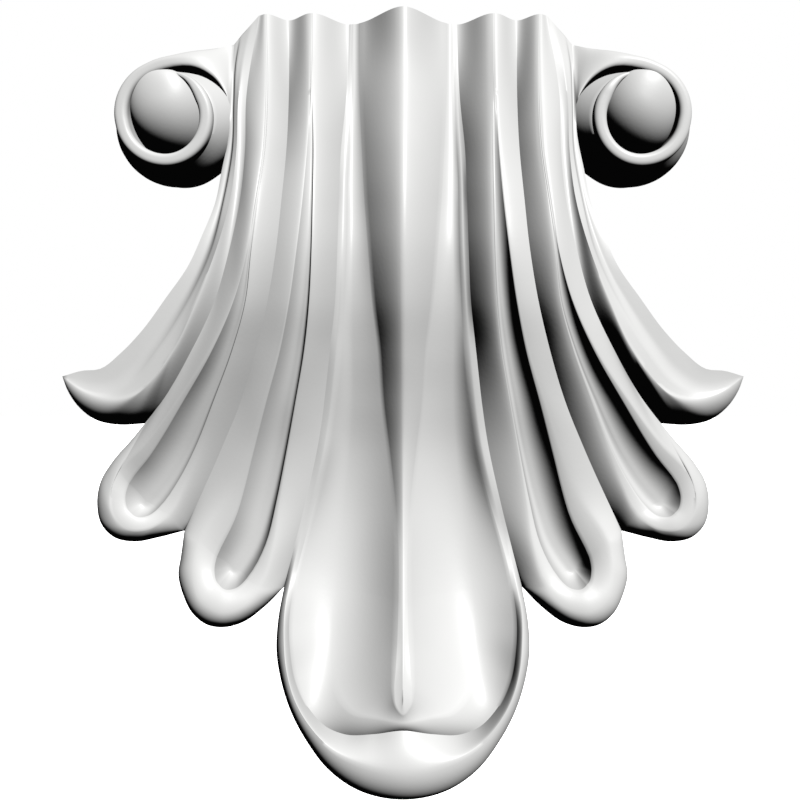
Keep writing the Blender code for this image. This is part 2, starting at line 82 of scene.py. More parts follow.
def linear(hex_colour: str) -> tuple[float, float, float, float]:
    """Turn an sRGB hex colour into linear red, green, blue and alpha.

    Args:
        hex_colour: six hex digits.

    Returns:
        The linear colour, with alpha 1.
    """
    shares = [int(hex_colour[i:i + 2], 16) / 255 for i in (0, 2, 4)]
    red, green, blue = [
        c / SRGB_TOE_SLOPE if c <= SRGB_TOE_END else ((c + SRGB_OFFSET) / (1 + SRGB_OFFSET)) ** SRGB_POWER
        for c in shares
    ]
    return red, green, blue, 1.0


def add_node(material: bpy.types.Material, kind: str,
             links: dict[str, bpy.types.NodeSocket] | None = None,
             sockets: dict[str, object] | None = None, **settings: object) -> bpy.types.Node:
    """Add one node to a material.

    Args:
        material: the material that gets the node.
        kind: the node's type name.
        links: output sockets to link, by the name of the new node's input.
        sockets: values to set, by the name of the new node's input.
        settings: the node's own properties.

    Returns:
        The new node.
    """
    node = material.node_tree.nodes.new(kind)
    for name, value in settings.items():
        setattr(node, name, value)
    for name, value in (sockets or {}).items():
        node.inputs[name].default_value = value
    for name, output in (links or {}).items():
        material.node_tree.links.new(output, node.inputs[name])
    return node


@dataclass(frozen=True)
class PaintedWood:
    """White eggshell paint, brushed on primed carved wood.

    The eye gets a clean white with a broad soft gloss on the rounded rims, an even film that is
    hardly rippled by the brush, and a tone that shifts a little where the coat lies thicker.
    """

    colour: str = "DEDEDD"
    thick_colour: str = "D9D9D8"
    roughness: float = 0.43
    roughness_shift: float = 0.04
    ior: float = 1.5
    ripple_width: float = 0.7 * MILLIMETRE
    ripple_height: float = 0.006 * MILLIMETRE
    ripple_detail: float = 2.0
    coat_patch: float = 9.0 * MILLIMETRE
    coat_detail: float = 3.0

    def material(self) -> bpy.types.Material:
        """Make the material.

        Returns:
            The paint as a node material on Object coordinates.
        """
        paint = bpy.data.materials.new("white_eggshell_paint_on_carved_wood")
        paint.use_nodes = True
        shader = paint.node_tree.nodes["Principled BSDF"]
        shader.inputs["IOR"].default_value = self.ior
        place = add_node(paint, "ShaderNodeTexCoord").outputs["Object"]
        patches = add_node(paint, "ShaderNodeTexNoise", {"Vector": place},
                           {"Scale": 1 / self.coat_patch, "Detail": self.coat_detail})
        tone = add_node(paint, "ShaderNodeMix", {"Factor": patches.outputs["Fac"]}, data_type="RGBA")
        tone.inputs["A"].default_value = linear(self.colour)
        tone.inputs["B"].default_value = linear(self.thick_colour)
        gloss = add_node(paint, "ShaderNodeMapRange", {"Value": patches.outputs["Fac"]},
                         {"To Min": self.roughness - self.roughness_shift,
                          "To Max": self.roughness + self.roughness_shift})
        ripples = add_node(paint, "ShaderNodeTexNoise", {"Vector": place},
                           {"Scale": 1 / self.ripple_width, "Detail": self.ripple_detail})
        bump = add_node(paint, "ShaderNodeBump", {"Height": ripples.outputs["Fac"]},
                        {"Distance": self.ripple_height})
        looks = {"Base Color": tone.outputs["Result"], "Roughness": gloss.outputs["Result"],
                 "Normal": bump.outputs["Normal"]}
        for name, output in looks.items():
            paint.node_tree.links.new(output, shader.inputs[name])
        return paint


class Profile(Enum):
    """How the height goes from one feature line to the next."""

    DOME = "dome"
    CUP = "cup"
    STRAIGHT = "straight"
    SLOPE = "slope"
    BANK = "bank"
    WALL = "wall"

    def rise(self, s: float, hollow: np.ndarray, power: np.ndarray | float) -> np.ndarray | float:
        """Share of the rise, at one place across or at each station.

        Args:
            s: share of the way across, from 0 to 1.
            hollow: how far the foot of a dome is drawn out into a hollow, at each station.
            power: how steep the wall of a groove is, at each station.

        Returns:
            Share of the height difference at that place.
        """
        if self in (Profile.DOME, Profile.BANK):
            dome = 1 - (1 - s) ** (DOME_POWER if self is Profile.DOME else BANK_POWER)
            return dome + (ease(s) - dome) * hollow
        if self is Profile.WALL:
            return 1 - (1 - s) ** power
        if self is Profile.CUP:
            return s ** CUP_POWER
        if self is Profile.SLOPE:
            return s ** SLOPE_POWER
        return s


@dataclass(frozen=True)
class Band:
    """One band of the surface, between a feature line and the next."""

    profile: Profile
    rows: int
    crowding: float = 1.0

    def steps(self) -> list[float]:
        """Shares of the way across, closer together at the start where crowding is above 1."""
        return [(i / self.rows) ** self.crowding for i in range(self.rows)]


@dataclass(frozen=True)
class Extent:
    """Width, height and depth of the onlay."""

    width: float
    height: float
    depth: float

    def metres(self, line: Shares) -> np.ndarray:
        """Turn (across, up, depth) shares into (x, z, height above the back).

        Args:
            line: points of a feature line, in thousandths.

        Returns:
            One row of three metres for each point.
        """
        scale = (self.width / 2, self.height, self.depth)
        return np.array(line, dtype=float) / THOUSANDTHS * scale - (0, self.height / 2, 0)


def smooth(control: np.ndarray, steps: int) -> np.ndarray:
    """Smooth curve through control points; one that ends on the axis crosses it squarely.

    Args:
        control: the points, one in each row.
        steps: steps from each point to the next.

    Returns:
        The points of the curve.
    """
    gaps = np.linalg.norm(np.diff(control, axis=0), axis=1)
    slopes = np.diff(control, axis=0) / gaps[:, None]
    tangents = np.empty_like(control)
    tangents[0], tangents[-1] = slopes[0], slopes[-1]
    if control[-1, 0] == 0 and control[-2, 0] > 0:
        tangents[-1, 1:] = 0.0
    before, after = gaps[:-1, None], gaps[1:, None]
    tangents[1:-1] = (slopes[:-1] * after + slopes[1:] * before) / (before + after)
    t = (np.arange(steps) / steps)[:, None]
    pieces = []
    for i, gap in enumerate(gaps):
        ends = (1 + 2 * t) * (1 - t) ** 2 * control[i] + t ** 2 * (3 - 2 * t) * control[i + 1]
        bend = t * (1 - t) ** 2 * tangents[i] - t ** 2 * (1 - t) * tangents[i + 1]
        pieces.append(ends + gap * bend)
    return np.concatenate(pieces + [control[-1:]])


def spaced(curve: np.ndarray, count: int, crowding: float) -> np.ndarray:
    """Stations along a finely drawn curve.

    Args:
        curve: points of the curve, one in each row.
        count: number of stations.
        crowding: 0 for even spaces, and above 0 for smaller spaces near the start.

    Returns:
        The stations, one in each row.
    """
    travelled = np.concatenate(([0.0], np.cumsum(np.linalg.norm(np.diff(curve, axis=0), axis=1))))
    share = np.linspace(0.0, 1.0, count)
    wanted = travelled[-1] * (share * (1 - crowding) + share ** 2 * crowding)
    return np.column_stack([np.interp(wanted, travelled, curve[:, k]) for k in range(curve.shape[1])])


def ease(s: np.ndarray | float) -> np.ndarray:
    """Smooth way from 0 to 1, level at both ends."""
    t = np.clip(s, 0.0, 1.0)
    return t * t * (3 - 2 * t)


def around(centre: np.ndarray, radius: np.ndarray | float, angles: np.ndarray) -> np.ndarray:
    """Points (x, z) at a radius round a centre, for angles in degrees."""
    turns = np.radians(angles)
    return centre + np.column_stack((radius * np.cos(turns), radius * np.sin(turns)))


def chain(*parts: np.ndarray) -> np.ndarray:
    """Join lines end to end, keeping each shared station once."""
    return np.concatenate([parts[0]] + [part[1:] for part in parts[1:]])


class Run(Enum):
    """Which part of a leaf a run of a feature line follows."""

    DOWN = "down the side from the top edge"
    TIP = "round the tip"
    LEAF_TIP = "under the tip of the pointed leaf"
    WHOLE = "down the pointed leaf to its tip"
    UP = "up the side to the top edge"


@dataclass(frozen=True)
class Fineness:
    """How many stations the feature lines have."""

    side: int = 89
    side_crowding: float = 0.45
    tip: int = 57
    leaf_tip: int = 25
    curve_steps: int = 40
    edge_blend: int = 4
    rim_guide_gap: int = 12
    hollow_share: float = 0.3

    def stations(self, curve: np.ndarray, run: Run) -> np.ndarray:
        """Read the stations of one run from its curve.

        Args:
            curve: the finely drawn curve.
            run: part of the leaf that it follows.

        Returns:
            The stations, one in each row.
        """
        if run is Run.UP:
            return spaced(curve[::-1], self.side, self.side_crowding)[::-1]
        if run is Run.DOWN:
            return spaced(curve, self.side, self.side_crowding)
        if run is Run.WHOLE:
            return spaced(curve, self.side + self.leaf_tip - 1, self.side_crowding)
        return spaced(curve, self.tip if run is Run.TIP else self.leaf_tip, 0.0)

    def line(self, extent: Extent, *runs: tuple[Shares, Run]) -> np.ndarray:
        """Feature line of runs drawn in shares, which flow into one another.

        Args:
            extent: size of the onlay.
            runs: control points of each run and the part of the leaf that it follows.

        Returns:
            The stations of all the runs, each shared one once.
        """
        return self.flowing(*[(extent.metres(shares), run) for shares, run in runs])

    def flowing(self, *runs: tuple[np.ndarray, Run]) -> np.ndarray:
        """Feature line of runs drawn in metres, which flow into one another.

        Args:
            runs: control points of each run and the part of the leaf that it follows.

        Returns:
            The stations of all the runs, each shared one once.
        """
        curve = smooth(chain(*[control for control, _ in runs]), self.curve_steps)
        parts, first = [], 0
        for control, run in runs:
            last = first + (len(control) - 1) * self.curve_steps
            parts.append(self.stations(curve[first:last + 1], run))
            first = last
        return chain(*parts)

    def hollow(self) -> np.ndarray:
        """How far the domes rise from a hollow, at each station down a side from the top edge."""
        return 1 - ease(np.linspace(0.0, 1.0, self.side) / self.hollow_share)

    def edge_share(self, *runs: tuple[int, bool]) -> np.ndarray:
        """How far each station of a leaf's first line is a free edge.

        Args:
            runs: number of stations and whether they are on the outline, for each run in order.

        Returns:
            1 on the outline, 0 in a valley, with a short change from one to the other.
        """
        values: list[float] = []
        for count, outline in runs:
            values += [float(outline)] * (count - (1 if values else 0))
        share = np.array(values)
        for _ in range(self.edge_blend):
            share[1:-1] = (share[:-2] + 2 * share[1:-1] + share[2:]) / 4
        return share


def loft(lines: list[np.ndarray], bands: tuple[Band, ...], edge: np.ndarray, hollow: np.ndarray,
         powers: np.ndarray | float = 1.0) -> list[np.ndarray]:
    """Rows of stations across a leaf, from its edge line to its last line.

    Args:
        lines: feature lines with the same number of stations.
        bands: the band after each line but the last.
        edge: share by which the first band is the round edge of the outline, at each station.
        hollow: how far the foot of a dome is drawn out into a hollow, at each station.
        powers: how steep the wall of the groove is, at each station.

    Returns:
        The rows, each with one point for each station.
    """
    rows = []
    for k, band in enumerate(bands):
        first, second = lines[k], lines[k + 1]
        way = edge if k == 0 else np.zeros(len(first))
        for s in band.steps():
            row = first + (second - first) * s
            quarter = math.sqrt(1 - (1 - s) ** 2)
            rise = way * quarter + (1 - way) * band.profile.rise(s, hollow, powers)
            row[:, 2] = first[:, 2] + (second[:, 2] - first[:, 2]) * rise
            rows.append(row)
    return rows + [lines[-1]]


@dataclass(frozen=True)
class MiddleLeaf:
    """Middle leaf: the round rib on the axis, its foot, the scoops and the rim round the tip."""

    valley: Shares = (
        (172, 1000, 263), (177, 887, 423), (189, 814, 538), (192, 745, 635), (195, 679, 686),
        (202, 617, 667), (220, 555, 603), (264, 426, 500), (299, 360, 481), (366, 247, 487)
    )
    outline: Shares = (
        (366, 247, 487), (379, 207, 551), (379, 172, 615), (361, 136, 654), (329, 100, 686),
        (280, 65, 718), (224, 36, 744), (135, 11, 769), (0, 0, 782)
    )
    rim_tip: Shares = (
        (346, 250, 572), (353, 224, 668), (349, 192, 768), (338, 159, 828), (311, 124, 864),
        (264, 94, 898), (199, 70, 938), (102, 54, 980), (0, 48, 1000)
    )
    lip_tip: Shares = (
        (331, 249, 560), (339, 211, 652), (332, 179, 728), (315, 143, 762), (275, 108, 768),
        (220, 85, 778), (175, 79, 800), (85, 84, 872), (0, 92, 922)
    )
    scoop: Shares = (
        (154, 1000, 269), (152, 887, 417), (154, 816, 500), (152, 747, 577), (150, 682, 635),
        (150, 618, 628), (152, 555, 571), (154, 491, 494), (165, 425, 424), (180, 359, 404),
        (194, 294, 430), (206, 244, 478)
    )
    scoop_tip: Shares = (
        (206, 244, 478), (214, 196, 556), (212, 156, 650), (196, 124, 752), (150, 107, 832),
        (80, 105, 898), (0, 104, 952)
    )
    rib_foot: Shares = (
        (137, 1000, 286), (134, 885, 434), (125, 815, 524), (115, 746, 606), (102, 680, 667),
        (90, 617, 654), (72, 555, 603), (62, 490, 532), (43, 426, 500), (25, 362, 538), (14, 300, 628),
        (14, 241, 730)
    )
    rib_foot_tip: Shares = (
        (14, 241, 730), (17, 197, 830), (22, 163, 905), (26, 140, 936), (19, 122, 954), (0, 113, 959)
    )
    axis: Shares = (
        (0, 1000, 538), (0, 926, 590), (0, 870, 667), (0, 800, 769), (0, 735, 840), (0, 674, 859),
        (0, 614, 821), (0, 553, 731), (0, 490, 635), (0, 427, 571), (0, 362, 577), (0, 300, 641),
        (0, 241, 744)
    )
    axis_tip: Shares = (
        (0, 241, 744), (0, 197, 846), (0, 160, 925), (0, 132, 962)
    )
    bands: tuple[Band, ...] = (
        Band(Profile.BANK, 14, 1.7), Band(Profile.SLOPE, 9), Band(Profile.DOME, 12),
        Band(Profile.CUP, 12), Band(Profile.BANK, 10),
    )
    rim_shares: tuple[float, float] = (0.67, 0.33)
    rim_way_power: int = 3
    rim_rise_power: int = 2
    rim_join_power: int = 4
    rib_hollow: float = 0.6

    def rows(self, extent: Extent, fine: Fineness) -> list[np.ndarray]:
        """Rows of stations across half the leaf, from its edge to the axis.

        Args:
            extent: size of the onlay.
            fine: numbers of stations.

        Returns:
            The rows of the surface.
        """
        valley = fine.line(extent, (self.valley, Run.DOWN))
        scoop = fine.line(extent, (self.scoop, Run.DOWN), (self.scoop_tip, Run.TIP))
        floor = scoop[:fine.side]
        fall = np.linspace(0.0, 1.0, fine.side)[:, None]
        upper = []
        for shares, share in zip((self.rim_tip, self.lip_tip), self.rim_shares):
            tip = extent.metres(shares)
            last_share = (tip[0, 0] - floor[-1, 0]) / (valley[-1, 0] - floor[-1, 0])
            way = share + (last_share - share) * fall ** self.rim_way_power
            follow = floor + (valley - floor) * way
            rise = way ** self.rim_rise_power
            follow[:, 2:] = floor[:, 2:] + (valley[:, 2:] - floor[:, 2:]) * rise
            follow += (tip[0] - follow[-1]) * fall ** self.rim_join_power
            guides = follow[:-fine.rim_guide_gap:fine.rim_guide_gap]
            upper.append(fine.flowing((np.vstack((guides, tip[:1])), Run.DOWN), (tip, Run.TIP)))
        lines = [
            chain(valley, fine.line(extent, (self.outline, Run.TIP))),
            *upper,
            scoop,
            fine.line(extent, (self.rib_foot, Run.DOWN), (self.rib_foot_tip, Run.TIP)),
            fine.line(extent, (self.axis, Run.DOWN), (self.axis_tip, Run.TIP)),
        ]
        edge = fine.edge_share((fine.side, False), (fine.tip, True))
        hollow = chain(fine.hollow(), np.zeros(fine.tip)) * self.rib_hollow
        return loft(lines, self.bands, edge, hollow)


@dataclass(frozen=True)
class GroovedLeaf:
    """Side leaf with a round tip: a rim all round and one long groove inside it."""

    inner_valley: Shares
    outline: Shares
    outer_valley: Shares
    inner_crest: Shares
    tip_crest: Shares
    outer_crest: Shares
    groove: Shares
    groove_start: float
    insets: tuple[float, float, float]
    groove_run: float = 0.18
    inset_start: float = 0.12
    inset_power: int = 6
    inset_drop: float = 0.35
    wall_powers: tuple[float, float] = (4.0, 2.2)
    bands: tuple[Band, ...] = (
        Band(Profile.BANK, 14, 1.7), Band(Profile.CUP, 6), Band(Profile.WALL, 16, 1.7),
    )

    def rows(self, extent: Extent, fine: Fineness) -> list[np.ndarray]:
        """Rows of stations from the edge of the leaf to the floor of its groove.

        Args:
            extent: size of the onlay.
            fine: numbers of stations.

        Returns:
            The rows of the surface.
        """
        crest = fine.line(extent, (self.inner_crest, Run.DOWN), (self.tip_crest, Run.TIP),
                          (self.outer_crest[::-1], Run.UP))
        fall = np.linspace(0.0, 1.0, fine.side)
        whole = (crest[:fine.side] + crest[:-fine.side - 1:-1]) / 2
        open_share = ease((fall - self.groove_start) / self.groove_run)[:, None]
        down = whole + (fine.line(extent, (self.groove, Run.DOWN)) - whole) * open_share
        floor = chain(down, np.repeat(down[-1:], fine.tip, axis=0), down[::-1])
        turn = np.linspace(0.0, 1.0, fine.tip)
        way = self.inset_start + (1 - self.inset_start) * fall ** self.inset_power
        inset = chain(self.insets[0] * way, np.interp(turn, (0.0, 0.5, 1.0), self.insets),
                      self.insets[2] * way[::-1])
        groove_edge = crest + (floor - crest) * inset[:, None]
        groove_edge[:, 2] = crest[:, 2] + (floor[:, 2] - crest[:, 2]) * inset * self.inset_drop
        inner_power, outer_power = self.wall_powers
        powers = chain(np.full(fine.side, inner_power), np.interp(turn, (0.0, 1.0), self.wall_powers),
                       np.full(fine.side, outer_power))
        lines = [
            chain(fine.line(extent, (self.inner_valley, Run.DOWN)),
                  fine.line(extent, (self.outline, Run.TIP)),
                  fine.line(extent, (self.outer_valley, Run.DOWN))[::-1]),
            crest,
            groove_edge,
            floor,
        ]
        edge = fine.edge_share((fine.side, False), (fine.tip, True), (fine.side, False))
        hollow = chain(fine.hollow(), np.zeros(fine.tip), fine.hollow()[::-1])
        return loft(lines, self.bands, edge, hollow, powers)


@dataclass(frozen=True)
class PointedLeaf:
    """Outermost leaf, which runs from the neck to a point."""

    valley: Shares = (
        (450, 1000, 400), (476, 876, 571), (469, 805, 692), (476, 738, 784), (504, 675, 818),
        (546, 614, 808), (618, 553, 766), (715, 490, 680), (761, 469, 620)
    )
    under: Shares = (
        (761, 469, 620), (801, 461, 590), (856, 459, 583), (922, 465, 603), (968, 482, 647),
        (992, 502, 699), (1000, 520, 750)
    )
    crest: Shares = (
        (476, 987, 404), (492, 933, 488), (499, 876, 577), (494, 805, 695), (503, 737, 803),
        (538, 672, 872), (594, 611, 874), (667, 551, 840), (773, 500, 804), (865, 493, 776),
        (945, 503, 758), (1000, 520, 750)
    )
    crease: Shares = (
        (503, 975, 398), (514, 933, 470), (514, 875, 551), (508, 802, 676), (524, 737, 778),
        (554, 674, 836), (620, 612, 838), (711, 552, 815), (802, 509, 786), (858, 499, 768),
        (922, 502, 756), (1000, 520, 750)
    )
    over: Shares = (
        (529, 962, 392), (529, 878, 525), (528, 842, 550), (544, 781, 635), (556, 737, 712),
        (586, 697, 766), (628, 655, 790), (689, 618, 790), (765, 575, 780), (826, 549, 766),
        (891, 529, 755), (943, 527, 750), (1000, 520, 750)
    )
    bands: tuple[Band, ...] = (
        Band(Profile.DOME, 14, 1.7), Band(Profile.STRAIGHT, 4), Band(Profile.DOME, 7),
        Band(Profile.CUP, 7),
    )
    trough_depth: float = 0.9 * MILLIMETRE

    def rows(self, extent: Extent, fine: Fineness) -> list[np.ndarray]:
        """Rows of stations across the leaf, the last one on its outer edge.

        Args:
            extent: size of the onlay.
            fine: numbers of stations.

        Returns:
            The rows of the surface.
        """
        crest, crease, over = (fine.line(extent, (line, Run.WHOLE))
                               for line in (self.crest, self.crease, self.over))
        trough = (crease + over) / 2
        trough[:, 2] -= self.trough_depth * np.sin(np.linspace(0.0, math.pi, len(trough)))
        under = chain(fine.line(extent, (self.valley, Run.DOWN)),
                      fine.line(extent, (self.under, Run.LEAF_TIP)))
        lines = [under, crest, crease, trough, over]
        edge = fine.edge_share((fine.side, False), (fine.leaf_tip, True))
        hollow = chain(fine.hollow(), np.zeros(fine.leaf_tip))
        return loft(lines, self.bands, edge, hollow)


@dataclass(frozen=True)
class Scroll:
    """Strap from the neck, the bead that it winds into, the eye inside and the drum below."""

    centre: tuple[float, float] = (728, 859)
    outer: tuple[tuple[float, float], ...] = ((-0.979, 1.443), (-0.631, 1.352), (-0.193, 1.231))
    inner: tuple[tuple[float, float], ...] = ((-1.211, 0.410), (-0.985, 0.714), (-0.567, 0.942))
    strap_rise: tuple[float, ...] = (500, 525, 538)
    neck_foot: float = 870
    radius: float = 9.3 * MILLIMETRE
    rise: float = 16.8 * MILLIMETRE
    coil_start: float = 72.0
    coil_end: float = -256.0
    opening: float = 1.4 * MILLIMETRE
    opens_above: float = -10.0
    opening_turn: float = 100.0
    opening_power: float = 1.1
    closing: float = 0.6 * MILLIMETRE
    closes_from: float = -90.0
    closing_turn: float = 90.0
    bead_width: float = 2.5 * MILLIMETRE
    bead_end_width: float = 0.8 * MILLIMETRE
    narrows_from: float = -205.0
    narrowing_turn: float = 59.0
    tail_drop: float = 1.0 * MILLIMETRE
    tail_drops_from: float = -220.0
    tail_drop_turn: float = 44.0
    bead_round: float = 1.5 * MILLIMETRE
    bead_power: int = 3
    bead_starts_over: int = 3
    eye_half: tuple[float, float] = (7.0 * MILLIMETRE, 7.7 * MILLIMETRE)
    eye_offset: tuple[float, float] = (0.15 * MILLIMETRE, 1.1 * MILLIMETRE)
    eye_rise: float = 17.2 * MILLIMETRE
    eye_edge_rise: float = 11.2 * MILLIMETRE
    eye_edge_slant: float = 5.2 * MILLIMETRE
    eye_slant_towards: float = 68.0
    eye_apex: tuple[float, float] = (0.6 * MILLIMETRE, 3.4 * MILLIMETRE)
    drum_side: tuple[tuple[float, float], ...] = (
        (9.6 * MILLIMETRE, 0.5 * MILLIMETRE), (10.9 * MILLIMETRE, 9.5 * MILLIMETRE),
        (8.6 * MILLIMETRE, 15.0 * MILLIMETRE),
    )
    drum_lean: float = 2.6 * MILLIMETRE
    drum_leans_towards: float = 160.0
    drum_lean_power: int = 4
    well_radius: float = 7.7 * MILLIMETRE
    well_rise: float = 5.0 * MILLIMETRE
    foot_rise: float = 3.5 * MILLIMETRE
    foot_lean: float = 5.0 * MILLIMETRE
    coil_gaps: int = 28
    steps_per_gap: int = 5
    eye_segments: int = 120
    eye_rings: int = 32
    drum_segments: int = 120
    drum_steps: int = 8

    def middle(self, extent: Extent) -> np.ndarray:
        """Centre of the scroll as (x, z)."""
        return extent.metres(((*self.centre, 0),))[0, :2]

    def coil(self, extent: Extent) -> np.ndarray:
        """Edges of the bead where it winds round the eye.

        Args:
            extent: size of the onlay.

        Returns:
            Rows of outer x and z, inner x and z, and crest height.
        """
        angles = np.linspace(self.coil_start, self.coil_end, self.coil_gaps + 1)
        opening = np.maximum(0.0, (angles - self.opens_above) / self.opening_turn) ** self.opening_power
        closing = ease((self.closes_from - angles) / self.closing_turn)
        outer = self.radius + self.opening * opening - self.closing * closing
        narrowing = ease((self.narrows_from - angles) / self.narrowing_turn)
        width = self.bead_width + (self.bead_end_width - self.bead_width) * narrowing
        rise = self.rise - self.tail_drop * ease((self.tail_drops_from - angles) / self.tail_drop_turn)
        centre = self.middle(extent)
        inner = around(centre, outer - width, angles)
        return np.column_stack((around(centre, outer, angles), inner, rise))

    def strap_rows(self, extent: Extent, root: np.ndarray) -> list[np.ndarray]:
        """Rows along the strap, which leaves the neck at the root and winds into the scroll.

        Args:
            extent: size of the onlay.
            root: stations of the pointed leaf's outer edge from which the strap springs.

        Returns:
            The rows of the surface.
        """
        level = root[:, 2].mean()
        starts = [(*root[0, :2], *root[-1, :2], level)]
        x, z = self.middle(extent)
        for outer, inner, rise in zip(self.outer, self.inner, self.strap_rise):
            edges = np.array((*outer, *inner)) * self.radius + (x, z, x, z)
            starts.append((*edges, extent.depth * rise / THOUSANDTHS))
        edges = smooth(np.concatenate((starts, self.coil(extent))), self.steps_per_gap)
        even = np.linspace(0.0, 1.0, len(root))
        across = (1 - np.cos(math.pi * even)) / 2
        lift = (1 - np.abs(2 * across - 1) ** self.bead_power) ** (1 / self.bead_power) - 1
        sections = [root]
        for k, (x0, z0, x1, z1, height) in enumerate(edges[1:], start=1):
            bead = float(ease(k / (self.steps_per_gap * self.bead_starts_over)))
            share = even + (across - even) * bead
            crest = height + self.bead_round * lift * bead + (root[:, 2] - level) * (1 - bead)
            sections.append(np.column_stack((x0 + (x1 - x0) * share, z0 + (z1 - z0) * share, crest)))
        return [np.array(row) for row in zip(*sections)]

    def eye_rows(self, extent: Extent) -> list[np.ndarray]:
        """Rings of the egg-shaped eye, from its highest point to its edge.

        Args:
            extent: size of the onlay.

        Returns:
            The rings of the surface, each closed by its first point.
        """
        centre = self.middle(extent)
        angles = np.linspace(0.0, 360.0, self.eye_segments + 1)
        slant = np.cos(np.radians(angles - self.eye_slant_towards))
        edge = self.eye_edge_rise + self.eye_edge_slant * slant
        outline = around(centre, 0.0, angles) + around(np.zeros(2), 1.0, angles) * self.eye_half
        outline += self.eye_offset
        apex = centre + self.eye_apex
        rows = []
        for i in range(self.eye_rings + 1):
            share = math.sin(math.pi / 2 * i / self.eye_rings)
            height = edge + (self.eye_rise - edge) * math.sqrt(1 - share ** 2)
            rows.append(np.column_stack((apex + (outline - apex) * share, height)))
            rows[-1][-1] = rows[-1][0]
        return rows

    def drum_rows(self, extent: Extent) -> list[np.ndarray]:
        """Rings of the barrel-shaped side under the bead and of the well in its top.

        Args:
            extent: size of the onlay.

        Returns:
            The rings of the surface, each closed by its first point.
        """
        centre = self.middle(extent)
        angles = np.linspace(0.0, 360.0, self.drum_segments + 1)
        towards = np.cos(np.radians(angles - self.drum_leans_towards))
        lean = np.maximum(0.0, towards) ** self.drum_lean_power
        side = smooth(np.array(self.drum_side), self.drum_steps)
        foot, top = side[0, 0], self.drum_side[-1][1]
        profile = [(foot, side[0, 1], self.foot_lean), (foot, self.foot_rise, self.foot_lean)]
        for radius, rise in [(foot, self.foot_rise), *side[side[:, 1] > self.foot_rise]]:
            profile.append((radius, rise, self.drum_lean * (1 - (rise / top) ** self.drum_lean_power)))
        profile += [(self.well_radius, top, 0.0), (self.well_radius, self.well_rise, 0.0),
                    (0.0, self.well_rise, 0.0)]
        rows = []
        for radius, rise, reach in profile:
            place = around(centre, radius + reach * lean, angles)
            rows.append(np.column_stack((place, np.full(len(angles), rise))))
            rows[-1][-1] = rows[-1][0]
        return rows


class Carving:
    """Front surface of some carved parts on one side of the axis, welded by place."""

    grain: float = 1e-7
    merge_grains: int = 10

    def __init__(self) -> None:
        """Start with no points and no faces."""
        self.indices: dict[tuple[int, ...], int] = {}
        self.points: list[tuple[float, float, float]] = []
        self.faces: list[list[int]] = []

    def index(self, point: np.ndarray) -> int:
        """Number of the point at a place, made when it is new.

        Args:
            point: x, z and height above the back.

        Returns:
            The point's number.
        """
        key = tuple(int(round(value / self.grain)) for value in point)
        if key not in self.indices:
            self.indices[key] = len(self.points)
            x, z, height = (float(value) for value in point)
            self.points.append((x, -height, z))
        return self.indices[key]

    def add(self, rows: list[np.ndarray]) -> None:
        """Add the faces between the rows of one part.

        Args:
            rows: rows of stations, each with the same number of points.
        """
        grid = [[self.index(point) for point in row] for row in rows]
        for upper, lower in zip(grid, grid[1:]):
            for a, b, c, d in zip(upper, upper[1:], lower[1:], lower):
                corners = list(dict.fromkeys((a, b, c, d)))
                if len(corners) > 2:
                    self.faces.append(corners)

    def piece(self, name: str, mirrored: bool) -> bpy.types.Object:
        """Close the surface down to the flat back and mirror it.

        Args:
            name: name of the new object.
            mirrored: whether the half joins its mirror image along the axis.

        Returns:
            The closed piece, selected and active.
        """
        mesh = bpy.data.meshes.new(name)
        mesh.from_pydata(self.points, [], self.faces)
        shape = bpy.data.objects.new(name, mesh)
        bpy.context.scene.collection.objects.link(shape)
        bpy.ops.object.select_all(action="DESELECT")
        bpy.context.view_layer.objects.active = shape
        shape.select_set(True)
        bpy.ops.object.mode_set(mode="EDIT")
        bpy.ops.mesh.select_mode(type="EDGE")
        bpy.ops.mesh.select_all(action="DESELECT")
        edit = bmesh.from_edit_mesh(mesh)
        for edge in edit.edges:
            on_axis = all(abs(vertex.co.x) < self.grain for vertex in edge.verts)
            edge.select_set(edge.is_boundary and not (mirrored and on_axis))
        bmesh.update_edit_mesh(mesh)
        bpy.ops.mesh.extrude_edges_move()
        bpy.ops.transform.resize(value=(1.0, 0.0, 1.0), center_override=(0.0, 0.0, 0.0))
        bpy.ops.mesh.edge_face_add()
        bpy.ops.object.mode_set(mode="OBJECT")
        mirror = shape.modifiers.new("mirror", "MIRROR")
        mirror.use_mirror_merge = mirrored
        mirror.merge_threshold = self.grain * self.merge_grains
        bpy.ops.object.modifier_apply(modifier=mirror.name)
        bpy.ops.object.mode_set(mode="EDIT")
        bpy.ops.mesh.select_all(action="SELECT")
        bpy.ops.mesh.normals_make_consistent(inside=False)
        bpy.ops.object.mode_set(mode="OBJECT")
        return shape


